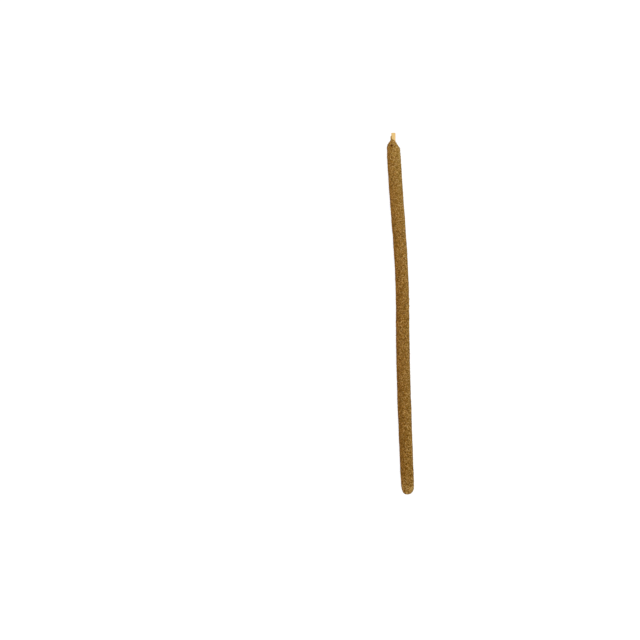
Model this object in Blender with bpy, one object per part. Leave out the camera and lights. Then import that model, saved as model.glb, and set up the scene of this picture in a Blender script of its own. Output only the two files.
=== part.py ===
"""Palo santo incense stick: wood-powder paste rolled by hand on a bamboo splint, lying on its side.

+Y runs along the stick to the bare bamboo tip, +X is to the right seen from above, +Z is up.
The origin is on the surface that the stick lies on, under the middle of its bounding box.
Distances named "along" are measured from the rounded end towards the bamboo tip.
"""

import math

import bmesh
import bpy
from mathutils import Vector, noise

MM = 0.001

# Driving dimensions
TOTAL_LENGTH = 210.0 * MM
CENTRE_HEIGHT = 3.64 * MM       # of the axis above the surface, a little less than the radius
ROUNDED_END_LENGTH = 6.2 * MM
END_FULLNESS = 2.5              # power of the end's outline: 2 would be a half ellipse
NECK_ALONG = 200.0 * MM         # where the paste starts to narrow towards the bamboo
RIM_ALONG = 204.5 * MM          # where the paste stops on the bamboo, at the middle of its rim
RIM_SLANT = 0.5 * MM            # how far the rim rises on the left and drops on the right
BAMBOO_SIDE = 2.2 * MM
BAMBOO_CORNER = 0.6 * MM
BAMBOO_TURN = math.radians(14)  # of the splint about its own length
BAMBOO_START_ALONG = 6.0 * MM   # the splint's hidden end, inside the rounded end of the paste
CORE_GAP = 0.3 * MM             # between the splint and the wall of its channel

# The slight bend of the stick: (along, sideways)
BEND = (
    (0.0, 4.30), (20.0, 3.50), (45.0, 2.51), (70.0, 1.76), (90.0, 1.35), (110.0, 1.15),
    (125.0, 0.80), (145.0, -0.27), (170.0, -2.13), (185.0, -3.17), (200.0, -4.03), (204.0, -4.20),
    (210.0, -4.20),
)
# The radius of the paste: (along, radius), from the end's shoulder to the pinched neck
RADII = (
    (6.0, 3.70), (20.0, 3.82), (40.0, 3.88), (58.0, 3.96), (66.0, 3.87), (80.0, 3.95),
    (96.0, 3.87), (132.0, 3.84), (165.0, 3.95), (185.0, 4.00), (196.0, 3.95), (199.5, 3.84),
    (201.1, 3.77), (202.2, 3.34), (203.4, 2.76), (204.1, 2.30), (205.1, 1.64), (205.8, 1.46),
)
# The pinched neck leans to the left of the splint: (along, sideways)
NECK_LEAN = ((200.9, 0.0), (202.2, -0.25), (203.6, -0.46), (205.1, -0.28), (205.8, -0.18))

# Unevenness left by the hands: (size of a lump, height of a lump), less where the paste is thinner
LUMPS = ((9.0 * MM, 0.13 * MM), (3.6 * MM, 0.07 * MM))
FULL_LUMP_RADIUS = 4.0 * MM

# A small pit in the top of the neck, to the left of its middle: its place, and its radii along X, Y and Z
PIT_ALONG = 202.7 * MM
PIT_SIDEWAYS = -0.6 * MM
PIT_RADII = (0.62 * MM, 0.80 * MM, 0.75 * MM)

# Fineness of the solids
SIDES = 28
RING_SPACING = 2.3 * MM
NECK_SPACING = 0.6 * MM
END_RINGS = 9
END_FIRST_ANGLE = math.radians(9)
CORE_RING_SPACING = 6.0 * MM
CORNER_STEPS = 3
WELD_DISTANCE = 0.01 * MM

PASTE_COLOUR = (0.250, 0.127, 0.028, 1.0)
BAMBOO_COLOUR = (0.840, 0.610, 0.270, 1.0)


def through(points, at):
    """The value at a distance of a smooth curve through (distance, value) points in millimetres."""
    at = at / MM
    first = 0
    while first < len(points) - 2 and at > points[first + 1][0]:
        first += 1
    (x0, y0), (x1, y1) = points[first], points[first + 1]
    before = points[max(first - 1, 0)]
    after = points[min(first + 2, len(points) - 1)]
    slope0 = (y1 - before[1]) / (x1 - before[0])
    slope1 = (after[1] - y0) / (after[0] - x0)
    width = x1 - x0
    t = min(max((at - x0) / width, 0.0), 1.0)
    value = (2 * t**3 - 3 * t**2 + 1) * y0 + (3 * t**2 - 2 * t**3) * y1
    value += (t**3 - 2 * t**2 + t) * width * slope0 + (t**3 - t**2) * width * slope1
    return value * MM


def axis_at(along):
    """Sideways place of the splint's axis."""
    return through(BEND, along)


def radius_at(along):
    """Radius of the paste, with half a superellipse for the rounded end."""
    if along >= ROUNDED_END_LENGTH:
        return through(RADII, along)
    share = 1 - max(along, 0.0) / ROUNDED_END_LENGTH
    return through(RADII, ROUNDED_END_LENGTH) * (1 - share**END_FULLNESS) ** (1 / END_FULLNESS)


def lump_height(along, angle, radius):
    """Height of the hand-rolled unevenness at a place on the paste."""
    place = Vector((radius * math.cos(angle), along, radius * math.sin(angle)))
    share = min(radius / FULL_LUMP_RADIUS, 1.0)
    return share * sum(height * noise.noise(place / size) for size, height in LUMPS)


def paste_point(ring_along, angle):
    """A point on the paste's surface: rings near the neck tilt with the slanted rim."""
    tilt = min(max((ring_along - NECK_ALONG) / (RIM_ALONG - NECK_ALONG), 0.0), 1.0)
    along = ring_along - tilt * RIM_SLANT * math.cos(angle)
    radius = radius_at(along)
    radius += lump_height(along, angle, radius)
    lean = through(NECK_LEAN, along) if along > NECK_LEAN[0][0] * MM else 0.0
    x = axis_at(along) + lean + radius * math.cos(angle)
    z = CENTRE_HEIGHT + radius * math.sin(angle)
    return Vector((x, along - TOTAL_LENGTH / 2, max(z, 0.0)))


def ring_places():
    """Distances of the paste's rings, close together at the neck and round the end."""
    places = []
    for step in range(END_RINGS):
        turn = END_FIRST_ANGLE + (math.pi / 2 - END_FIRST_ANGLE) * step / END_RINGS
        places.append(ROUNDED_END_LENGTH * (1 - math.cos(turn)))
    steps = round((NECK_ALONG - ROUNDED_END_LENGTH) / RING_SPACING)
    for step in range(steps):
        places.append(ROUNDED_END_LENGTH + (NECK_ALONG - ROUNDED_END_LENGTH) * step / steps)
    steps = round((RIM_ALONG - NECK_ALONG) / NECK_SPACING)
    for step in range(steps + 1):
        places.append(NECK_ALONG + (RIM_ALONG - NECK_ALONG) * step / steps)
    return places


def object_from(mesh_builder, name, collection):
    """Turns a bmesh into an object in a collection."""
    mesh = bpy.data.meshes.new(name)
    bmesh.ops.recalc_face_normals(mesh_builder, faces=mesh_builder.faces)
    mesh_builder.to_mesh(mesh)
    mesh_builder.free()
    obj = bpy.data.objects.new(name, mesh)
    collection.objects.link(obj)
    return obj


def make_paste(collection):
    """The rolled paste: rings of unlike outlines, skinned from the rounded end to the rim."""
    builder = bmesh.new()
    rings = []
    for along in ring_places():
        angles = [math.tau * side / SIDES for side in range(SIDES)]
        rings.append([builder.verts.new(paste_point(along, angle)) for angle in angles])
    for ring, following in zip(rings, rings[1:]):
        for side in range(SIDES):
            beside = (side + 1) % SIDES
            builder.faces.new((ring[side], ring[beside], following[beside], following[side]))
    builder.faces.new(rings[0])
    builder.faces.new(rings[-1])
    return object_from(builder, "incense_paste", collection)


def splint_section(name, growth, collection):
    """Outline of the square splint with rounded corners, grown on all sides by a gap."""
    inner = BAMBOO_SIDE / 2 - BAMBOO_CORNER
    corner = BAMBOO_CORNER + growth
    outline = bpy.data.curves.new(name, "CURVE")
    outline.dimensions = "2D"
    spline = outline.splines.new("POLY")
    spline.points.add(4 * (CORNER_STEPS + 1) - 1)
    spline.use_cyclic_u = True
    for quarter in range(4):
        middle = BAMBOO_TURN + math.pi / 4 + quarter * math.pi / 2
        centre = Vector((math.cos(middle), math.sin(middle))) * inner * math.sqrt(2)
        for step in range(CORNER_STEPS + 1):
            angle = middle + (step / CORNER_STEPS - 0.5) * math.pi / 2
            x = centre.x + corner * math.cos(angle)
            y = centre.y + corner * math.sin(angle)
            spline.points[quarter * (CORNER_STEPS + 1) + step].co = (x, y, 0, 1)
    section = bpy.data.objects.new(name, outline)
    section.hide_render = True
    section.display_type = "WIRE"
    collection.objects.link(section)
    return section


def make_splint(name, start, end, growth, collection, helpers):
    """A bar with the splint's section along the stick's axis, as a closed mesh."""
    path = bpy.data.curves.new(name + "_path", "CURVE")
    path.dimensions = "3D"
    path.twist_mode = "Z_UP"
    path.bevel_mode = "OBJECT"
    path.bevel_object = splint_section(name + "_section", growth, helpers)
    path.use_fill_caps = True
    spline = path.splines.new("POLY")
    count = max(round((end - start) / CORE_RING_SPACING), 2)
    spline.points.add(count)
    for step in range(count + 1):
        along = start + (end - start) * step / count
        place = (axis_at(along), along - TOTAL_LENGTH / 2, CENTRE_HEIGHT, 1)
        spline.points[step].co = place
    curve = bpy.data.objects.new(name + "_path", path)
    helpers.objects.link(curve)
    bpy.context.view_layer.update()
    graph = bpy.context.evaluated_depsgraph_get()
    mesh = bpy.data.meshes.new_from_object(curve.evaluated_get(graph))
    builder = bmesh.new()
    builder.from_mesh(mesh)
    bmesh.ops.remove_doubles(builder, verts=builder.verts, dist=WELD_DISTANCE)
    bpy.data.objects.remove(curve)
    bpy.data.meshes.remove(mesh)
    return object_from(builder, name, collection)


def make_pit_cutter(helpers):
    """The egg-shaped cutter of the pit, centred on the neck's upper surface."""
    builder = bmesh.new()
    bmesh.ops.create_icosphere(builder, subdivisions=2, radius=1.0)
    radius = radius_at(PIT_ALONG)
    x = axis_at(PIT_ALONG) + through(NECK_LEAN, PIT_ALONG) + PIT_SIDEWAYS
    z = CENTRE_HEIGHT + math.sqrt(radius * radius - PIT_SIDEWAYS * PIT_SIDEWAYS)
    bmesh.ops.scale(builder, vec=PIT_RADII, verts=builder.verts)
    bmesh.ops.translate(builder, vec=(x, PIT_ALONG - TOTAL_LENGTH / 2, z), verts=builder.verts)
    return object_from(builder, "pit_cutter", helpers)


def cut(obj, cutter):
    """Takes a cutter's volume out of an object."""
    cutter.hide_render = True
    cutter.display_type = "WIRE"
    modifier = obj.modifiers.new("cut_" + cutter.name, "BOOLEAN")
    modifier.operation = "DIFFERENCE"
    modifier.object = cutter


def paint(obj, name, colour, roughness):
    """Gives an object its own material."""
    material = bpy.data.materials.new(name)
    material.use_nodes = True
    shader = material.node_tree.nodes["Principled BSDF"]
    shader.inputs["Base Color"].default_value = colour
    shader.inputs["Roughness"].default_value = roughness
    shader.inputs["Metallic"].default_value = 0.0
    obj.data.materials.append(material)


def new_collection(name):
    """Adds a collection to the scene."""
    collection = bpy.data.collections.new(name)
    bpy.context.scene.collection.children.link(collection)
    return collection


def main():
    for obj in list(bpy.data.objects):
        bpy.data.objects.remove(obj)
    stick = new_collection("palo_santo_stick")
    helpers = new_collection("helpers")
    helpers.hide_render = True

    paste = make_paste(stick)
    splint = make_splint("bamboo_core", BAMBOO_START_ALONG, TOTAL_LENGTH, 0.0, stick, helpers)
    channel = make_splint(
        "channel_cutter", BAMBOO_START_ALONG - CORE_GAP, TOTAL_LENGTH + CORE_GAP, CORE_GAP, helpers, helpers
    )
    cut(paste, channel)
    cut(paste, make_pit_cutter(helpers))

    paint(paste, "palo_santo_paste", PASTE_COLOUR, 0.95)
    paint(splint, "bamboo", BAMBOO_COLOUR, 0.6)
    paste.data.shade_smooth()
    splint.data.set_sharp_from_angle(angle=math.radians(30))


main()
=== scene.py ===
"""The looks of a palo santo incense stick: coarse sawdust paste rolled on a bamboo splint.

Lengths are metres, but BEND, RADII, NECK_LEAN and PITS are in millimetres. The frame is that of
the solids: +Y along the stick to the bare bamboo tip, +X to the right seen from above, +Z up.
"Along" is the distance from the rounded end towards the tip.
"""
import math

import bmesh
import bpy
import numpy as np
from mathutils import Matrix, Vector, noise


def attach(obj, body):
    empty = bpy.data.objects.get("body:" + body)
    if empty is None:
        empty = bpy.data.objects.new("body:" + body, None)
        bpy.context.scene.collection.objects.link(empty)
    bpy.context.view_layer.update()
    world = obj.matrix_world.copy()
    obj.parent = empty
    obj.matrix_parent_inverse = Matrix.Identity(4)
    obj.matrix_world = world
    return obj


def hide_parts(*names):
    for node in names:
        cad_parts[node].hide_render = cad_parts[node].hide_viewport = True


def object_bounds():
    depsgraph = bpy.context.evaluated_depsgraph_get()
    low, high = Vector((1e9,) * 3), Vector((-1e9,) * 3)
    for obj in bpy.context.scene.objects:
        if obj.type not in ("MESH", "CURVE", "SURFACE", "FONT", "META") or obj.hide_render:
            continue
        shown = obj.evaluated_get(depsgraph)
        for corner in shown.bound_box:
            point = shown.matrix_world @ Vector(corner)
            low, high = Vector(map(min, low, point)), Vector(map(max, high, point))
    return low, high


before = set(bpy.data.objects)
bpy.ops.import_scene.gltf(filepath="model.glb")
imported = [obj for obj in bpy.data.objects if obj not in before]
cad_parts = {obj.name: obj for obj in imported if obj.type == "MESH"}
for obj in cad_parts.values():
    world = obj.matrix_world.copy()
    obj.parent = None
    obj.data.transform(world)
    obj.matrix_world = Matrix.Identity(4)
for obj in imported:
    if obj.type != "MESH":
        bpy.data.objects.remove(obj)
solid_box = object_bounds()

MM = 0.001

# The shape of the solids, as the part's source gives it
TOTAL_LENGTH = 210.0 * MM
CENTRE_HEIGHT = 3.64 * MM
ROUNDED_END_LENGTH = 6.2 * MM
END_FULLNESS = 2.5
NECK_ALONG = 200.0 * MM
BAMBOO_SIDE = 2.2 * MM
BAMBOO_CORNER = 0.6 * MM
BAMBOO_TURN = math.radians(14)
BAMBOO_START_ALONG = 6.0 * MM
BEND = (
    (0.0, 4.30), (20.0, 3.50), (45.0, 2.51), (70.0, 1.76), (90.0, 1.35), (110.0, 1.15),
    (125.0, 0.80), (145.0, -0.27), (170.0, -2.13), (185.0, -3.17), (200.0, -4.03), (204.0, -4.20),
    (210.0, -4.20),
)
LUMPS = ((9.0 * MM, 0.13 * MM), (3.6 * MM, 0.07 * MM))
FULL_LUMP_RADIUS = 4.0 * MM

# The radius of the paste and the lean of its neck, which here go on until they meet the bamboo
RADII = (
    (6.0, 3.70), (20.0, 3.82), (40.0, 3.88), (58.0, 3.96), (66.0, 3.87), (80.0, 3.95),
    (96.0, 3.87), (132.0, 3.84), (165.0, 3.95), (185.0, 4.00), (196.0, 3.95), (199.5, 3.84),
    (201.1, 3.77), (202.2, 3.34), (203.4, 2.76), (204.1, 2.30), (205.1, 1.64), (205.8, 1.46),
    (207.0, 1.25),
)
NECK_LEAN = ((200.9, 0.0), (202.2, -0.25), (203.6, -0.46), (205.1, -0.28), (205.8, -0.18), (207.0, -0.05))
TIP_LEAN = 0.32 * MM            # to the left, of the rounded end's tip
TIP_LEAN_LENGTH = 1.8 * MM
RIM_ALONG = 206.05 * MM         # where the paste thins out on the bamboo, at the middle of its rim
RIM_SLANT = 0.7 * MM            # how far the rim rises on the left and drops on the right
RIM_RAGGEDNESS = 0.22 * MM
RIM_RAGGED_SIZE = 0.7 * MM
RIM_FILM = 0.16 * MM            # of paste on the bamboo, a little below its rim
RIM_FILM_LENGTH = 0.9 * MM
RIM_SINK = 0.04 * MM            # of the film's edge into the bamboo
RIM_FADE_LENGTH = 1.0 * MM      # below the rim, over which the crumbs rise to their full height

SIDE_LIGHT_REACH = 3.9 * MM           # from the axis to where the painted light of a side is full

# The splint: its bare part stands a little to the right of the solid's axis, and a little proud
SPLINT_SHIFT = 0.11 * MM
SPLINT_SHIFT_FROM = 203.5 * MM
SPLINT_SHIFT_TO = 205.0 * MM
SPLINT_PROUD = 0.05 * MM
SPLINT_SIDES = 72
SPLINT_HIDDEN_TO = 203 * MM
SPLINT_FIBRES = ((0.16 * MM, 0.035 * MM), (0.07 * MM, 0.02 * MM))   # width and height of its relief
SPLINT_FIBRE_STRETCH = 14       # length of that relief over its width
CUT_SOFTENING = 0.10 * MM
CUT_SOFTENING_LENGTH = 0.14 * MM
CUT_UNEVENNESS = 0.06 * MM
SPLINTERS_AT_CUT = 8
SPLINTERS_ALONG = 8

# Fineness of the paste's skin
PASTE_SIDES = 108
PASTE_STEP = 0.236 * MM
END_RINGS = 34

# The skin is packed crumbs, higher and lower ones, with joints between them
CRUMB_SIZE = 0.46 * MM
CRUMB_STEP = 0.10 * MM
CRUMB_WARP = 0.20 * MM
NOISE_SEED = 3                  # without it the warp would differ from run to run
JOINT_DEPTH = 0.09 * MM
ROUGHNESS_SIZE = 0.35 * MM
ROUGHNESS_HEIGHT = 0.04 * MM
HIGHEST = solid_box[1][2] + 0.15 * MM

# Pits in the surface, each (along, sideways from the stick's axis, radius, depth)
PITS = (
    (202.60, -1.22, 0.87, 0.78),
    (201.70, -1.20, 0.38, 0.40),
    (202.20, 0.84, 0.42, 0.34),
)
PIT_EDGE = (0.6, 1.1)           # where a pit's wall starts and ends, over its radius
FULL_PIT_SHADE_DEPTH = 0.5 * MM        # of a pit, past which its painted shade gets no darker
DENTS = 160                     # small pits scattered at random
DENT_RADIUS = 0.36 * MM
DENT_DEPTH = 0.20 * MM

# Wood dust on the skin, each (name, how many are scattered, usual length, kind of wood). Fewer
# remain, because those at the floor are left out, and pale and dark ones in the pits too.
WOOD_DUST = (
    ("coarse_dust", 20000, 0.46 * MM, "paste"),
    ("middle_dust", 23000, 0.35 * MM, "paste"),
    ("fine_dust", 24000, 0.26 * MM, "paste"),
    ("pale_dust", 11000, 0.365 * MM, "pale"),
    ("dark_dust", 10500, 0.41 * MM, "dark"),
)
DUST_SPREAD = 0.27              # of the logarithm of the grains' lengths
DUST_IN_PITS = {"paste": 1.0, "pale": 0.12, "dark": 0.12}   # the most painted pit shade that each kind lies on
GRAIN_WIDTH = 0.90              # of a grain's six corners from its middle, over half its length
GRAIN_FULLNESS = 0.70           # height of its upper corners over half its own height
GRAIN_CORNERS_OUT = (0.7, 1.2)  # least and most, of each corner over its even place
GRAIN_CORNER_SHIFT = 0.3        # of each corner on top of that, either way
GRAIN_HEIGHTS = (0.6, 1.0)      # least and most, over its width
GRAIN_SINK = (0.0, 0.25)        # least and most, of its middle below the surface, over its height
FIBRES = 500                    # scattered, of which those at the floor, rim and pits are left out
FIBRE_LENGTH = 1.1 * MM
FIBRE_SPREAD = 0.25             # of the logarithm of their lengths
STRAY_GRAINS = 170              # on the bamboo just above the rim
STRAY_REACH = 0.7 * MM

# Steps that scatter points evenly over two directions
SPREAD_STEPS = (0.7548776662, 0.5698402910)

# The crumb of paste that is stuck to the bamboo: its middle (along, X, Z) and half sides
CRUMB_ALONG = 207.10 * MM
CRUMB_X = -5.56 * MM
CRUMB_Z = 4.30 * MM
CRUMB_HALF_SIDES = (0.27 * MM, 1.00 * MM, 0.42 * MM)
CRUMB_LUMPS = ((0.50 * MM, 0.22 * MM), (0.16 * MM, 0.05 * MM))      # size and height
CRUMB_GRAINS = 130

# The seed of each random scatter
DENT_SEED = 7
FIRST_DUST_SEED = 21
FIBRE_SEED = 31
SPLINTER_SEED = 41
CRUMB_SEED = 51
STRAY_SEED = 61

MIDDLE_BROWN = (0.280, 0.148, 0.030)    # which the paste comes a little closer to towards the neck

# The camera looks straight down, and frames the stick as the photograph does
FRAME_PIXELS = 640
METRES_PER_PIXEL = 0.5811 * MM
STICK_MIDDLE_PIXEL = (400.45, 313.65)
LENS = 85.0
SENSOR = 36.0

# The floor is a dim light table, and the lamp a large soft disk above, to the right
FLOOR_HALF_SIDE = 3.0
FLOOR_HEIGHT = -0.02 * MM
FLOOR_GREY = 0.14
FLOOR_GLOW = 0.92
LAMP_SIZE = 1.6
LAMP_POWER = 13.4
LAMP_PLACE = (0.75, 0.15, 1.3)


def through(points, at):
    """Values at distances of a smooth curve through (distance, value) points in millimetres."""
    x, y = np.array(points, float).T * MM
    slopes = np.empty_like(y)
    slopes[1:-1] = (y[2:] - y[:-2]) / (x[2:] - x[:-2])
    slopes[0] = (y[1] - y[0]) / (x[1] - x[0])
    slopes[-1] = (y[-1] - y[-2]) / (x[-1] - x[-2])
    first = np.clip(np.searchsorted(x, at) - 1, 0, len(x) - 2)
    width = x[first + 1] - x[first]
    t = np.clip((at - x[first]) / width, 0, 1)
    value = (2 * t**3 - 3 * t**2 + 1) * y[first] + (3 * t**2 - 2 * t**3) * y[first + 1]
    value += (t**3 - 2 * t**2 + t) * width * slopes[first]
    value += (t**3 - t**2) * width * slopes[first + 1]
    return value


def smooth_step(low, high, value):
    """0 below low, 1 above high, and a smooth rise between them."""
    t = np.clip((value - low) / (high - low), 0, 1)
    return t * t * (3 - 2 * t)


def noise_at(places, size):
    """Smooth noise from about -1 to 1 at each place, with lumps of about a size."""
    return np.array([noise.noise(place) for place in (places / size).tolist()])


def cells_at(places, size, warp):
    """How far each place is from the joints of packed cells, and a random share for its cell."""
    inside = np.empty(len(places))
    centres = np.empty((len(places), 3))
    for index, place in enumerate((places / size).tolist()):
        place = Vector(place)
        distances, points = noise.voronoi(place + noise.noise_vector(place * 1.7) * (warp / size))
        inside[index] = distances[1] - distances[0]
        centres[index] = points[0]
    mixed = np.sin(centres @ np.array((12.99, 78.23, 37.72))) * 43758.55
    return inside, mixed - np.floor(mixed)


def crumbs_at(places):
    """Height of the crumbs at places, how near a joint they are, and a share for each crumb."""
    inside, share = cells_at(places, CRUMB_SIZE, CRUMB_WARP)
    joint = 1 - smooth_step(0.02, 0.34, inside)
    height = CRUMB_STEP * (share - 0.5) - JOINT_DEPTH * joint
    return height + ROUGHNESS_HEIGHT * noise_at(places, ROUGHNESS_SIZE), joint, share


def radius_at(along):
    """Radius of the smooth paste, with half a superellipse for the rounded end."""
    share = np.clip(1 - along / ROUNDED_END_LENGTH, 0, 1)
    at_shoulder = through(RADII, np.maximum(along, ROUNDED_END_LENGTH))
    return at_shoulder * (1 - share**END_FULLNESS) ** (1 / END_FULLNESS)


def axis_at(along):
    """Sideways place of the splint's axis."""
    return through(BEND, along)


def splint_axis_at(along):
    """Sideways place of the splint's own middle, which is a little to the right where it is bare."""
    return axis_at(along) + SPLINT_SHIFT * smooth_step(SPLINT_SHIFT_FROM, SPLINT_SHIFT_TO, along)


def lean_at(along):
    """How far the neck and the tip of the rounded end lean off the splint's axis."""
    neck = np.where(along > NECK_LEAN[0][0] * MM, through(NECK_LEAN, along), 0)
    return neck - TIP_LEAN * (1 - smooth_step(0, TIP_LEAN_LENGTH, along))


def splint_radius(angle):
    """Distance from the splint's axis to its side, seen along an angle: a square with round corners."""
    flat = BAMBOO_SIDE / 2 - BAMBOO_CORNER
    turned = np.mod(angle - BAMBOO_TURN + math.pi / 4, math.pi / 2) - math.pi / 4
    on_side = (BAMBOO_SIDE / 2) / np.cos(turned)
    towards = np.sign(turned) * math.pi / 4
    corner = flat * math.sqrt(2)
    along_corner = corner * np.cos(turned - towards)
    off_corner = corner * np.sin(turned - towards)
    on_corner = along_corner + np.sqrt(np.maximum(BAMBOO_CORNER**2 - off_corner**2, 0))
    past_flat = np.abs(on_side * np.sin(turned)) > flat
    return np.where(past_flat, on_corner, on_side)


def smooth_paste(ring_along, angle):
    """Points on the paste's surface before its grain."""
    tilt = np.clip((ring_along - NECK_ALONG) / (RIM_ALONG - NECK_ALONG), 0, 1)
    along = ring_along - tilt * RIM_SLANT * np.cos(angle)
    radius = radius_at(along)
    cosine, sine = np.cos(angle), np.sin(angle)
    around = np.stack((radius * cosine, along, radius * sine), 1)
    lumps = sum(height * noise_at(around, size) for size, height in LUMPS)
    radius = radius + lumps * np.minimum(radius / FULL_LUMP_RADIUS, 1)
    x = lean_at(along) + radius * cosine
    z = radius * sine

    # The last of the neck lies on the bamboo as a thin film that sinks into it at the rim.
    from_rim = RIM_ALONG - ring_along
    film = RIM_FILM * smooth_step(0, RIM_FILM_LENGTH, from_rim) - RIM_SINK
    least = splint_radius(np.arctan2(z, x)) + film
    grow = np.where(along > NECK_ALONG, np.maximum(least / np.hypot(x, z).clip(1e-9), 1), 1)
    x = axis_at(along) + x * grow
    z = CENTRE_HEIGHT + z * grow
    return np.stack((x, along - TOTAL_LENGTH / 2, z), 1)


def surface_frames(along, angle):
    """Places on the smooth paste with their outward normals and lengthwise directions."""
    step = 0.05 * MM
    here = smooth_paste(along, angle)
    ahead = smooth_paste(along + step, angle) - here
    aside = smooth_paste(along, angle + step / (4 * MM)) - here
    normal = np.cross(ahead, aside)
    normal /= np.linalg.norm(normal, axis=1, keepdims=True).clip(1e-12)
    ahead /= np.linalg.norm(ahead, axis=1, keepdims=True).clip(1e-12)
    return here, normal, ahead


def pit_list():
    """Middles, radii and depths of the pits on the smooth paste: the named ones, then the dents."""
    along, sideways, radii, depths = np.array(PITS).T * MM
    reach = ((sideways - lean_at(along)) / radius_at(along)).clip(-1, 1)
    middles = smooth_paste(along, np.arccos(reach))
    generator = np.random.default_rng(DENT_SEED)
    dent_along, dent_angle = spread_over_paste(generator, DENTS)
    middles = np.concatenate((middles, smooth_paste(dent_along, dent_angle)))
    radii = np.append(radii, DENT_RADIUS * generator.uniform(0.6, 1.4, DENTS))
    depths = np.append(depths, DENT_DEPTH * generator.uniform(0.4, 1.3, DENTS))
    return middles, radii, depths


def pits_at(places):
    """Depth of the pits at each place, and how much shade is painted there, more in deeper pits."""
    depth = np.zeros(len(places))
    dark = np.zeros(len(places))
    for middle, radius, deep in zip(*pit_list()):
        near = 1 - smooth_step(*PIT_EDGE, np.linalg.norm(places - middle, axis=1) / radius)
        depth = np.maximum(depth, near * deep)
        dark = np.maximum(dark, near * min(deep / FULL_PIT_SHADE_DEPTH, 1))
    return depth, dark


def object_from(name, points, faces):
    """Makes a mesh object from arrays of points and faces."""
    mesh = bpy.data.meshes.new(name)
    mesh.from_pydata(points.tolist(), [], faces)
    mesh.validate()
    mesh.shade_smooth()
    obj = bpy.data.objects.new(name, mesh)
    bpy.context.scene.collection.objects.link(obj)
    return obj


def painted_light_side_of(places):
    """Where places lie across the stick, for the light painted across it: -1 at its left side, 1 at its
    right one.
    """
    along = places[:, 1] + TOTAL_LENGTH / 2
    return ((places[:, 0] - axis_at(along)) / SIDE_LIGHT_REACH).clip(-1, 1)


def put_attribute(obj, name, values):
    """Stores a number for each point of an object's mesh."""
    attribute = obj.data.attributes.new(name, "FLOAT", "POINT")
    attribute.data.foreach_set("value", np.asarray(values, np.float32))


def put_map(obj, places):
    """Stores a map on the mesh: a place for each corner of each face."""
    layer = obj.data.uv_layers.new(name="OFBake")
    layer.data.foreach_set("uv", np.asarray(places, np.float32).ravel())


def tube_from(name, grid, first, last, bands):
    """A closed skin through rings of points, with a middle point at each end, unrolled in bands."""
    rings, sides = grid.shape[:2]
    points = np.concatenate((grid.reshape(-1, 3), (first, last)))
    first_middle, last_middle = rings * sides, rings * sides + 1
    faces = []
    corners = []                # (ring, side) of each face's corners on the unrolled map
    for side in range(sides):
        beside = (side + 1) % sides
        faces.append((side, beside, first_middle))
        corners.append(((1, side), (1, side + 1), (0, side + 0.5)))
    for ring in range(rings - 1):
        low, high = ring * sides, (ring + 1) * sides
        for side in range(sides):
            beside = (side + 1) % sides
            faces.append((low + side, high + side, high + beside, low + beside))
            corners.append((
                (ring + 1, side), (ring + 2, side), (ring + 2, side + 1), (ring + 1, side + 1),
            ))
    low = (rings - 1) * sides
    for side in range(sides):
        beside = (side + 1) % sides
        faces.append((low + side, last_middle, low + beside))
        corners.append(((rings, side), (rings + 1, side + 0.5), (rings, side + 1)))
    tube = object_from(name, points, faces)

    places = []
    band_length = (rings + 1) / bands
    margin = 0.02
    for face in corners:
        band = min(int(min(ring for ring, side in face) / band_length), bands - 1)
        for ring, side in face:
            across = margin + (1 - 2 * margin) * side / sides
            places.append(((ring - band * band_length) / (band_length + 1), (band + across) / bands))
    put_map(tube, places)
    return tube


def ring_places():
    """Distances of the skin's rings: close together at the tip of the rounded end, then even."""
    turns = np.linspace(0, math.pi / 2, END_RINGS + 1)[1:-1]
    end = ROUNDED_END_LENGTH * (1 - np.cos(turns))
    count = round((RIM_ALONG - ROUNDED_END_LENGTH) / PASTE_STEP)
    return np.concatenate((end, np.linspace(ROUNDED_END_LENGTH, RIM_ALONG, count + 1)))


def rim_fade(along):
    """0 at the rim of the paste, and 1 from a little below it."""
    return smooth_step(0, RIM_FADE_LENGTH, RIM_ALONG - along)


def make_paste():
    """The crumbly skin of the paste, closed inside the bamboo."""
    rings = ring_places()
    angles = np.arange(PASTE_SIDES) * math.tau / PASTE_SIDES
    ring_grid, angle_grid = (grid.ravel() for grid in np.meshgrid(rings, angles, indexing="ij"))
    smooth, normals, directions = surface_frames(ring_grid, angle_grid)
    height, joint, share = crumbs_at(smooth)
    depth, dark = pits_at(smooth)
    raised = height * rim_fade(ring_grid) - depth
    points = smooth + normals * raised[:, None]
    points[:, 2] = points[:, 2].clip(0, HIGHEST)

    # The rim of the skin is ragged along the bamboo.
    last = slice(-PASTE_SIDES, None)
    points[last, 1] += RIM_RAGGEDNESS * noise_at(smooth[last], RIM_RAGGED_SIZE)

    tip = (axis_at(0.0) + lean_at(0.0), -TOTAL_LENGTH / 2, CENTRE_HEIGHT)
    inside = (axis_at(RIM_ALONG), RIM_ALONG - TOTAL_LENGTH / 2, CENTRE_HEIGHT)
    paste = tube_from("rolled_paste", points.reshape(len(rings), PASTE_SIDES, 3), tip, inside, 3)
    # Joint and dark place the shade that the material paints in the joints between crumbs and in the
    # pits.
    for name, values in (("tone", share), ("joint", joint), ("dark", dark)):
        put_attribute(paste, name, np.append(values, (0.5, 0.5)))
    # The side number places the light that the materials paint across the stick.
    put_attribute(paste, "side", np.append(painted_light_side_of(points), (0, 0)))
    return paste


def spread_over_paste(generator, count):
    """Places that cover the paste's surface evenly, without a pattern."""
    along = np.linspace(0.05 * MM, RIM_ALONG - 0.15 * MM, 2000)
    radius = radius_at(along)
    strip = radius[:-1] * np.hypot(np.diff(along), np.diff(radius))
    area = np.concatenate(((0,), np.cumsum(strip)))
    order = np.arange(count) + generator.uniform(0, 1)
    shuffle = generator.uniform(0, 3.0 / math.sqrt(count), (2, count))
    share = np.mod(order * SPREAD_STEPS[0] + shuffle[0], 1)
    turn = np.mod(order * SPREAD_STEPS[1] + shuffle[1], 1)
    return np.interp(share * area[-1], area, along), turn * math.tau


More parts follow.
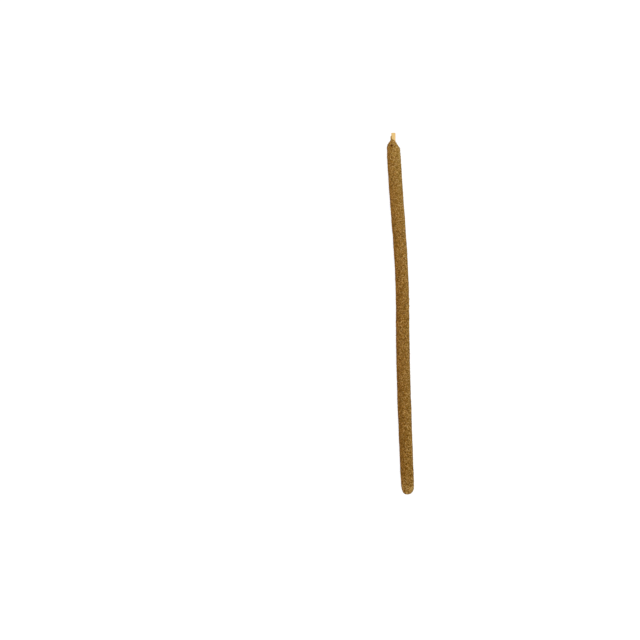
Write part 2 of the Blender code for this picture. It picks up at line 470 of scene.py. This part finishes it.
def grains_from(
    name, generator, places, normals, directions, lengths,
    slimness=(0.55, 0.9), tilt=0.13, turned=math.pi,
):
    """Joined uneven grains, half sunk in a surface: three corners above and three below."""
    count = len(places)
    turns = np.arange(3) * math.tau / 3
    turns = np.append(turns, turns + math.pi / 3)
    levels = np.repeat((GRAIN_FULLNESS, -GRAIN_FULLNESS), 3)
    corners = np.stack((np.cos(turns), np.sin(turns), levels), 1) * (GRAIN_WIDTH, GRAIN_WIDTH, 1)
    sides = [(0, 1, 2), (5, 4, 3)]
    for corner in range(3):
        after = (corner + 1) % 3
        sides += [(corner, 3 + corner, after), (3 + corner, 3 + after, after)]
    body = corners[None] * generator.uniform(*GRAIN_CORNERS_OUT, (count, 6, 1))
    body = body + generator.uniform(-GRAIN_CORNER_SHIFT, GRAIN_CORNER_SHIFT, (count, 6, 3))
    widths = lengths * generator.uniform(*slimness, count)
    heights = widths * generator.uniform(*GRAIN_HEIGHTS, count)

    turn = generator.uniform(-turned, turned, (count, 1))
    across = np.cross(normals, directions)
    first = directions * np.cos(turn) + across * np.sin(turn)
    second = np.cross(normals, first)
    lift = generator.normal(0, tilt, (count, 1))
    lifted = first * np.cos(lift) + normals * np.sin(lift)
    up = normals * np.cos(lift) - first * np.sin(lift)
    sunk = heights * generator.uniform(*GRAIN_SINK, count)
    points = (places - normals * sunk[:, None])[:, None]
    for axis, (sizes, way) in enumerate(((lengths, lifted), (widths, second), (heights, up))):
        points = points + body[..., axis, None] * (sizes[:, None, None] / 2) * way[:, None]
    points[..., 2] = points[..., 2].clip(0, HIGHEST)
    faces = np.array(sides)[None] + (np.arange(count) * len(corners))[:, None, None]
    grains = object_from(name, points.reshape(-1, 3), faces.reshape(-1, 3).tolist())

    # On the map each grain has a square cell of its own, seen from above.
    cells = math.ceil(math.sqrt(count))
    cell = np.stack((np.arange(count) % cells, np.arange(count) // cells), 1)
    in_cell = 0.5 + 0.45 * corners[np.array(sides).ravel(), :2]
    put_map(grains, (cell[:, None] + in_cell[None]) / cells)
    return grains


def put_grain_attribute(grains, name, values):
    """Stores a number for each grain of an object."""
    put_attribute(grains, name, np.repeat(values, len(grains.data.vertices) // len(values)))


def on_the_skin(along, angle, most_pit_shade):
    """Where grains lie on the skin, where the pits' painted shade is no more than a limit, and its
    colours there.
    """
    smooth, normals, directions = surface_frames(along, angle)
    height, joint, share = crumbs_at(smooth)
    depth, dark = pits_at(smooth)
    raised = height * rim_fade(along) - depth
    places = smooth + normals * raised[:, None]
    clear = (dark <= most_pit_shade) & (places[:, 2] > 0.05 * MM)
    found = (places, normals, directions, joint, share, dark)
    return *(values[clear] for values in found), clear


def make_dust(name, count, length, kind, seed):
    """Wood dust of one kind, scattered over the paste."""
    generator = np.random.default_rng(seed)
    along, angle = spread_over_paste(generator, count)
    places, normals, directions, joint, share, dark, clear = on_the_skin(
        along, angle, DUST_IN_PITS[kind]
    )
    lengths = length * np.exp(generator.normal(0, DUST_SPREAD, len(places))).clip(0.5, 1.7)
    lengths *= 0.5 + 0.5 * rim_fade(along[clear])
    own = generator.uniform(0, 1, len(places))
    dust = grains_from(name, generator, places, normals, directions, lengths)
    put_grain_attribute(dust, "tone", own if kind != "paste" else 0.4 * share + 0.6 * own)
    put_grain_attribute(dust, "joint", joint * 0.7)
    put_grain_attribute(dust, "dark", dark)
    # The side number places the light that the materials paint across the stick.
    put_grain_attribute(dust, "side", painted_light_side_of(places))
    return dust


def make_fibres():
    """Long thin slivers of wood, lying in the dust."""
    generator = np.random.default_rng(FIBRE_SEED)
    along, angle = spread_over_paste(generator, FIBRES)
    places, normals, directions, joint, share, dark, clear = on_the_skin(along, angle, 0.1)
    far = along[clear] < RIM_ALONG - 1.5 * MM
    lengths = FIBRE_LENGTH * np.exp(generator.normal(0, FIBRE_SPREAD, far.sum())).clip(0.5, 1.6)
    fibres = grains_from(
        "long_fibres", generator, places[far], normals[far], directions[far], lengths,
        slimness=(0.08, 0.13), tilt=0.04,
    )
    put_grain_attribute(fibres, "tone", generator.uniform(0, 0.45, far.sum()))
    return fibres


def make_bamboo():
    """The split bamboo: lengthwise fibres, and a cut end that is not quite even."""
    hidden = np.linspace(BAMBOO_START_ALONG, SPLINT_HIDDEN_TO, 60)
    shown = np.linspace(SPLINT_HIDDEN_TO, TOTAL_LENGTH, 48)[1:]
    rings = np.concatenate((hidden, shown))
    angles = np.arange(SPLINT_SIDES) * math.tau / SPLINT_SIDES
    along, angle = (grid.ravel() for grid in np.meshgrid(rings, angles, indexing="ij"))
    radius = splint_radius(angle)
    squeezed = np.stack((radius * np.cos(angle), along / SPLINT_FIBRE_STRETCH, radius * np.sin(angle)), 1)
    radius = radius + SPLINT_PROUD
    for width, height in SPLINT_FIBRES:
        radius = radius + height * noise_at(squeezed, width)
    softened = smooth_step(TOTAL_LENGTH - CUT_SOFTENING_LENGTH, TOTAL_LENGTH, along)
    radius = radius - CUT_SOFTENING * softened**2
    points = np.stack((
        splint_axis_at(along) + radius * np.cos(angle),
        along - TOTAL_LENGTH / 2,
        CENTRE_HEIGHT + radius * np.sin(angle),
    ), 1)

    # The ends: the cut is made of rings that shrink to the middle, with fibres of uneven length.
    grid = points.reshape(len(rings), SPLINT_SIDES, 3)
    cut = np.array((splint_axis_at(TOTAL_LENGTH), TOTAL_LENGTH / 2, CENTRE_HEIGHT))
    start = np.array((axis_at(BAMBOO_START_ALONG), BAMBOO_START_ALONG - TOTAL_LENGTH / 2, CENTRE_HEIGHT))
    caps = []
    for share in np.linspace(1, 0, 14)[1:-1]:
        cap = cut + (grid[-1] - cut) * share
        cap[:, 1] = TOTAL_LENGTH / 2 + CUT_UNEVENNESS * (noise_at(cap * (1, 0, 1), 0.14 * MM) - 0.6)
        caps.append(cap)
    bamboo = tube_from("bamboo_splint", np.concatenate((grid, caps)), start, cut, 1)
    skin = smooth_step(0.25, 0.8, np.cos(angle - BAMBOO_TURN))
    cap_skin = np.tile(skin[-SPLINT_SIDES:], len(caps))
    put_attribute(bamboo, "skin", np.concatenate((skin, cap_skin, (0.5, 0.5))))
    return bamboo


def make_splinters():
    """Fine fibres that stand off the bamboo's cut end and edges."""
    generator = np.random.default_rng(SPLINTER_SEED)
    count = SPLINTERS_AT_CUT + SPLINTERS_ALONG
    angle = generator.uniform(0, math.tau, count)
    at_end = np.arange(count) < SPLINTERS_AT_CUT
    along = np.where(at_end, TOTAL_LENGTH - 0.1 * MM, generator.uniform(206.8 * MM, 209.6 * MM, count))
    radius = splint_radius(angle) - 0.05 * MM
    places = np.stack((
        splint_axis_at(along) + radius * np.cos(angle),
        along - TOTAL_LENGTH / 2,
        CENTRE_HEIGHT + radius * np.sin(angle),
    ), 1)
    outward = np.stack((np.cos(angle), np.zeros(count), np.sin(angle)), 1)
    lengths = np.where(at_end, 0.45, 1.0) * generator.uniform(0.5, 1.0, count) * MM
    directions = np.tile((0.0, 1.0, 0.0), (count, 1))
    return grains_from(
        "bamboo_splinters", generator, places, outward, directions, lengths,
        slimness=(0.08, 0.14), tilt=0.08, turned=0.15,
    )


def make_stuck_crumb():
    """A crumb of paste that is stuck to the side of the bamboo above the rim."""
    builder = bmesh.new()
    bmesh.ops.create_icosphere(builder, subdivisions=5, radius=1.0)
    ball = np.array([vertex.co for vertex in builder.verts])
    faces = [[vertex.index for vertex in face.verts] for face in builder.faces]
    builder.free()
    middle = np.array((CRUMB_X, CRUMB_ALONG - TOTAL_LENGTH / 2, CRUMB_Z))
    smooth = middle + ball * CRUMB_HALF_SIDES
    lumps = sum(height * noise_at(smooth, size) for size, height in CRUMB_LUMPS)
    lumpy = smooth + ball * lumps[:, None]
    crumb = object_from("stuck_crumb", lumpy, faces)
    put_attribute(crumb, "tone", 0.45 + 0.4 * noise_at(smooth, 0.25 * MM))

    generator = np.random.default_rng(CRUMB_SEED)
    picked = generator.choice(len(ball), CRUMB_GRAINS, replace=False)
    across = np.cross(ball[picked], (0.3, 0.9, 0.2))
    across /= np.linalg.norm(across, axis=1, keepdims=True)
    lengths = generator.uniform(0.16, 0.40, CRUMB_GRAINS) * MM
    dust = grains_from("stuck_crumb_dust", generator, lumpy[picked], ball[picked], across, lengths)
    put_grain_attribute(dust, "tone", generator.uniform(0, 1, CRUMB_GRAINS))
    return crumb, dust


def make_stray_dust():
    """Fine dust left on the bamboo just above the rim."""
    generator = np.random.default_rng(STRAY_SEED)
    count = STRAY_GRAINS
    angle = generator.uniform(0, math.tau, count)
    rim = RIM_ALONG - RIM_SLANT * np.cos(angle)
    along = rim + np.abs(generator.normal(0, 1, count)) * STRAY_REACH
    along = np.minimum(along, TOTAL_LENGTH - 0.5 * MM)
    radius = splint_radius(angle)
    places = np.stack((
        splint_axis_at(along) + radius * np.cos(angle),
        along - TOTAL_LENGTH / 2,
        CENTRE_HEIGHT + radius * np.sin(angle),
    ), 1)
    outward = np.stack((np.cos(angle), np.zeros(count), np.sin(angle)), 1)
    directions = np.tile((0.0, 1.0, 0.0), (count, 1))
    lengths = generator.uniform(0.08, 0.22, count) * MM
    dust = grains_from("stray_dust", generator, places, outward, directions, lengths)
    put_grain_attribute(dust, "tone", generator.uniform(0, 1, count))
    return dust


def new_material(name, roughness, specular):
    """A material with a Principled shader, and what is needed to add nodes to it."""
    material = bpy.data.materials.new(name)
    material.use_nodes = True
    nodes = material.node_tree.nodes
    shader = nodes["Principled BSDF"]
    shader.inputs["Roughness"].default_value = roughness
    shader.inputs["Specular IOR Level"].default_value = specular
    return material, nodes, material.node_tree.links, shader


def colour_ramp(nodes, links, value, stops):
    """Colours by a value: (position, colour) stops."""
    ramp = nodes.new("ShaderNodeValToRGB")
    elements = ramp.color_ramp.elements
    while len(elements) < len(stops):
        elements.new(0.5)
    for element, (position, colour) in zip(elements, stops):
        element.position = position
        element.color = (*colour, 1)
    links.new(value, ramp.inputs["Fac"])
    return ramp.outputs["Color"]


def attribute(nodes, name):
    """The value of a number stored on the mesh."""
    node = nodes.new("ShaderNodeAttribute")
    node.attribute_name = name
    return node.outputs["Fac"]


def texture(nodes, links, kind, size, detail=2.0, stretch=(1, 1, 1)):
    """A procedural texture in the object's own coordinates, with features of about a size."""
    place = nodes.new("ShaderNodeTexCoord").outputs["Object"]
    mapping = nodes.new("ShaderNodeMapping")
    mapping.inputs["Scale"].default_value = [axis / size for axis in stretch]
    links.new(place, mapping.inputs["Vector"])
    node = nodes.new(kind)
    node.inputs["Scale"].default_value = 1.0
    if "Detail" in node.inputs:
        node.inputs["Detail"].default_value = detail
    links.new(mapping.outputs["Vector"], node.inputs["Vector"])
    return node


def mixed(nodes, links, factor, first, second, blend="MIX"):
    """Two colours mixed by a factor, each a socket or a fixed value."""
    node = nodes.new("ShaderNodeMix")
    node.data_type = "RGBA"
    node.blend_type = blend
    for socket, value in ((node.inputs[0], factor), (node.inputs[6], first), (node.inputs[7], second)):
        if isinstance(value, (float, int)):
            socket.default_value = value
        elif isinstance(value, tuple):
            socket.default_value = (*value, 1)
        else:
            links.new(value, socket)
    return node.outputs[2]


def maths(nodes, links, operation, first, second):
    """Arithmetic on two values, each a socket or a number."""
    node = nodes.new("ShaderNodeMath")
    node.operation = operation
    for socket, value in zip(node.inputs, (first, second)):
        if isinstance(value, (float, int)):
            socket.default_value = value
        else:
            links.new(value, socket)
    return node.outputs[0]


def add_bump(nodes, links, shader, height, distance, strength):
    """Fine relief from a height value."""
    bump = nodes.new("ShaderNodeBump")
    bump.inputs["Strength"].default_value = strength
    bump.inputs["Distance"].default_value = distance
    links.new(height, bump.inputs["Height"])
    links.new(bump.outputs["Normal"], shader.inputs["Normal"])


def drifted(nodes, links, colour):
    """A colour that drifts along the stick and in patches, more even towards the neck, with light painted
    across it: warmer and darker on the left side, cooler and brighter on the right one.
    """
    place = nodes.new("ShaderNodeTexCoord").outputs["Object"]
    axes = nodes.new("ShaderNodeSeparateXYZ")
    links.new(place, axes.inputs["Vector"])
    share = maths(nodes, links, "DIVIDE", axes.outputs["Y"], TOTAL_LENGTH)
    share = maths(nodes, links, "ADD", share, 0.5)
    evened = colour_ramp(nodes, links, share, (
        (0.60, (0.0, 0.0, 0.0)), (0.72, (0.11, 0.11, 0.11)), (0.86, (0.20, 0.20, 0.20)),
    ))
    colour = mixed(nodes, links, evened, colour, MIDDLE_BROWN)
    lengthwise = colour_ramp(nodes, links, share, (
        (0.0, (1.22, 1.33, 1.54)), (0.05, (0.97, 0.96, 0.92)), (0.20, (0.95, 0.935, 0.895)),
        (0.33, (0.98, 0.965, 0.95)), (0.50, (1.01, 0.99, 0.94)), (0.72, (1.06, 1.05, 1.05)),
        (0.85, (1.16, 1.22, 1.36)), (0.93, (1.22, 1.32, 1.50)), (0.975, (1.28, 1.38, 1.55)),
    ))
    colour = mixed(nodes, links, 1.0, colour, lengthwise, "MULTIPLY")
    # Painted light: warmer and darker towards the left side, cooler and brighter towards the right one.
    side = maths(nodes, links, "MULTIPLY", attribute(nodes, "side"), 0.5)
    painted_side_light = colour_ramp(nodes, links, maths(nodes, links, "ADD", side, 0.5), (
        (0.05, (0.99, 0.87, 0.70)), (0.30, (1.00, 0.955, 0.89)), (0.50, (1.00, 0.99, 0.98)),
        (0.70, (0.99, 1.01, 1.03)), (0.95, (1.01, 1.11, 1.24)),
    ))
    colour = mixed(nodes, links, 1.0, colour, painted_side_light, "MULTIPLY")
    patches = texture(nodes, links, "ShaderNodeTexNoise", 1.9 * MM, 2.0)
    patch_colour = colour_ramp(nodes, links, patches.outputs["Fac"], (
        (0.35, (1.05, 0.99, 0.915)), (0.65, (1.00, 1.02, 0.99)),
    ))
    return mixed(nodes, links, 1.0, colour, patch_colour, "MULTIPLY")


def paste_material():
    """Dry paste of wood powder: many browns crumb by crumb, with painted shade in the joints and pits."""
    material, nodes, links, shader = new_material("palo_santo_paste_look", 0.95, 0.0)
    fine = texture(nodes, links, "ShaderNodeTexNoise", 0.22 * MM, 3.0)
    granules = texture(nodes, links, "ShaderNodeTexVoronoi", 0.19 * MM, 0.0)
    value = maths(nodes, links, "MULTIPLY", attribute(nodes, "tone"), 0.92)
    for output, share in ((fine.outputs["Fac"], 0.35), (granules.outputs["Color"], 0.45)):
        value = maths(nodes, links, "ADD", value, maths(nodes, links, "MULTIPLY", output, share))
    value = maths(nodes, links, "SUBTRACT", value, 0.365)
    colour = colour_ramp(nodes, links, value, (
        (0.05, (0.078, 0.027, 0.001)),
        (0.30, (0.166, 0.074, 0.006)),
        (0.50, (0.252, 0.125, 0.019)),
        (0.70, (0.352, 0.193, 0.043)),
        (0.95, (0.530, 0.342, 0.136)),
    ))
    colour = drifted(nodes, links, colour)
    # Painted shade in the joints between the crumbs.
    joint_painted_shade = maths(nodes, links, "MULTIPLY", attribute(nodes, "joint"), 0.55)
    colour = mixed(nodes, links, joint_painted_shade, colour, (0.070, 0.028, 0.004))
    # Painted shade in the pits and dents, darker the deeper they are.
    pit_painted_shade = maths(nodes, links, "MULTIPLY", attribute(nodes, "dark"), 0.95)
    colour = mixed(nodes, links, pit_painted_shade, colour, (0.112, 0.024, 0.001))
    links.new(colour, shader.inputs["Base Color"])
    relief = maths(nodes, links, "SUBTRACT", fine.outputs["Fac"], granules.outputs["Distance"])
    add_bump(nodes, links, shader, relief, 0.10 * MM, 0.7)
    return material


def grain_material(name, dark, light, roughness):
    """Grains of wood between two colours, each with its own share, and streaked a little."""
    material, nodes, links, shader = new_material(name, roughness, 0.03)
    streaks = texture(nodes, links, "ShaderNodeTexNoise", 0.12 * MM, 2.0)
    share = maths(nodes, links, "MULTIPLY", attribute(nodes, "tone"), 0.75)
    streak_share = maths(nodes, links, "MULTIPLY", streaks.outputs["Fac"], 0.25)
    share = maths(nodes, links, "ADD", share, streak_share)
    links.new(drifted(nodes, links, mixed(nodes, links, share, dark, light)), shader.inputs["Base Color"])
    add_bump(nodes, links, shader, streaks.outputs["Fac"], 0.03 * MM, 0.4)
    return material


def bamboo_material():
    """Split bamboo: pale straw with fine lengthwise fibres, more orange where its outer skin was."""
    material, nodes, links, shader = new_material("bare_bamboo_look", 0.6, 0.3)
    fibres = texture(nodes, links, "ShaderNodeTexNoise", 0.13 * MM, 3.0, (1, 0.045, 1))
    flesh = colour_ramp(nodes, links, fibres.outputs["Fac"], (
        (0.28, (0.50, 0.31, 0.10)), (0.5, (0.645, 0.425, 0.155)), (0.72, (0.75, 0.54, 0.24)),
    ))
    skin = colour_ramp(nodes, links, fibres.outputs["Fac"], (
        (0.28, (0.44, 0.25, 0.085)), (0.5, (0.575, 0.352, 0.135)), (0.72, (0.67, 0.46, 0.205)),
    ))
    colour = mixed(nodes, links, attribute(nodes, "skin"), flesh, skin)
    bands = texture(nodes, links, "ShaderNodeTexNoise", 0.7 * MM, 1.0, (1, 0.03, 1))
    band_colour = colour_ramp(nodes, links, bands.outputs["Fac"], (
        (0.4, (0.98, 1.01, 0.97)), (0.6, (1.02, 0.97, 0.98)),
    ))
    colour = mixed(nodes, links, 1.0, colour, band_colour, "MULTIPLY")
    links.new(colour, shader.inputs["Base Color"])
    add_bump(nodes, links, shader, fibres.outputs["Fac"], 0.05 * MM, 0.4)
    return material


def make_stage():
    """A plain pale floor under the stick, lit a little from below as a light table is."""
    mesh = bpy.data.meshes.new("floor")
    half, low = FLOOR_HALF_SIDE, FLOOR_HEIGHT
    corners = [(-half, -half, low), (half, -half, low), (half, half, low), (-half, half, low)]
    mesh.from_pydata(corners, [], [(0, 1, 2, 3)])
    floor = bpy.data.objects.new("floor", mesh)
    bpy.context.scene.collection.objects.link(floor)
    material, nodes, links, shader = new_material("floor_look", 0.9, 0.1)
    shader.inputs["Base Color"].default_value = (FLOOR_GREY, FLOOR_GREY, FLOOR_GREY, 1)
    shader.inputs["Emission Color"].default_value = (1, 1, 1, 1)
    shader.inputs["Emission Strength"].default_value = FLOOR_GLOW
    mesh.materials.append(material)


def make_lights():
    """Soft studio light: a white room, and a large lamp above, to the right."""
    world = bpy.data.worlds.new("studio")
    bpy.context.scene.world = world
    world.use_nodes = True
    background = world.node_tree.nodes["Background"]
    background.inputs["Color"].default_value = (1, 1, 1, 1)
    background.inputs["Strength"].default_value = 1.0
    lamp = bpy.data.lights.new("softbox", "AREA")
    lamp.shape = "DISK"
    lamp.size = LAMP_SIZE
    lamp.energy = LAMP_POWER
    softbox = bpy.data.objects.new("softbox", lamp)
    softbox.location = LAMP_PLACE
    softbox.rotation_euler = (-softbox.location).to_track_quat("-Z", "Y").to_euler()
    bpy.context.scene.collection.objects.link(softbox)


def make_camera():
    """The camera looks straight down on the middle of the photograph's frame."""
    data = bpy.data.cameras.new("camera")
    data.lens = LENS
    data.sensor_width = SENSOR
    camera = bpy.data.objects.new("camera", data)
    x = (FRAME_PIXELS / 2 - STICK_MIDDLE_PIXEL[0]) * METRES_PER_PIXEL
    y = (STICK_MIDDLE_PIXEL[1] - FRAME_PIXELS / 2) * METRES_PER_PIXEL
    distance = FRAME_PIXELS * METRES_PER_PIXEL * LENS / SENSOR
    camera.location = (x, y, CENTRE_HEIGHT + distance)
    bpy.context.scene.collection.objects.link(camera)
    bpy.context.scene.camera = camera


def dress(piece, material):
    """Gives a piece its material and the body that it rides on."""
    piece.data.materials.append(material)
    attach(piece, "root")


def main():
    noise.seed_set(NOISE_SEED)
    make_camera()
    make_lights()
    make_stage()
    bpy.context.scene.view_settings.view_transform = "Standard"

    looks = {
        "paste": paste_material(),
        "pale": grain_material("pale_grain_look", (0.38, 0.215, 0.070), (0.72, 0.465, 0.195), 0.85),
        "dark": grain_material("dark_grain_look", (0.032, 0.011, 0.001), (0.105, 0.041, 0.004), 0.9),
    }
    paste = make_paste()
    dress(paste, looks["paste"])
    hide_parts("incense_paste")
    for seed, (name, count, length, kind) in enumerate(WOOD_DUST, FIRST_DUST_SEED):
        dress(make_dust(name, count, length, kind, seed), looks[kind])
    dress(make_fibres(), looks["pale"])
    dress(make_stray_dust(), looks["paste"])
    for piece in make_stuck_crumb():
        dress(piece, looks["paste"])

    bamboo_look = bamboo_material()
    bamboo = make_bamboo()
    dress(bamboo, bamboo_look)
    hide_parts("bamboo_core")
    dress(make_splinters(), bamboo_look)


main()
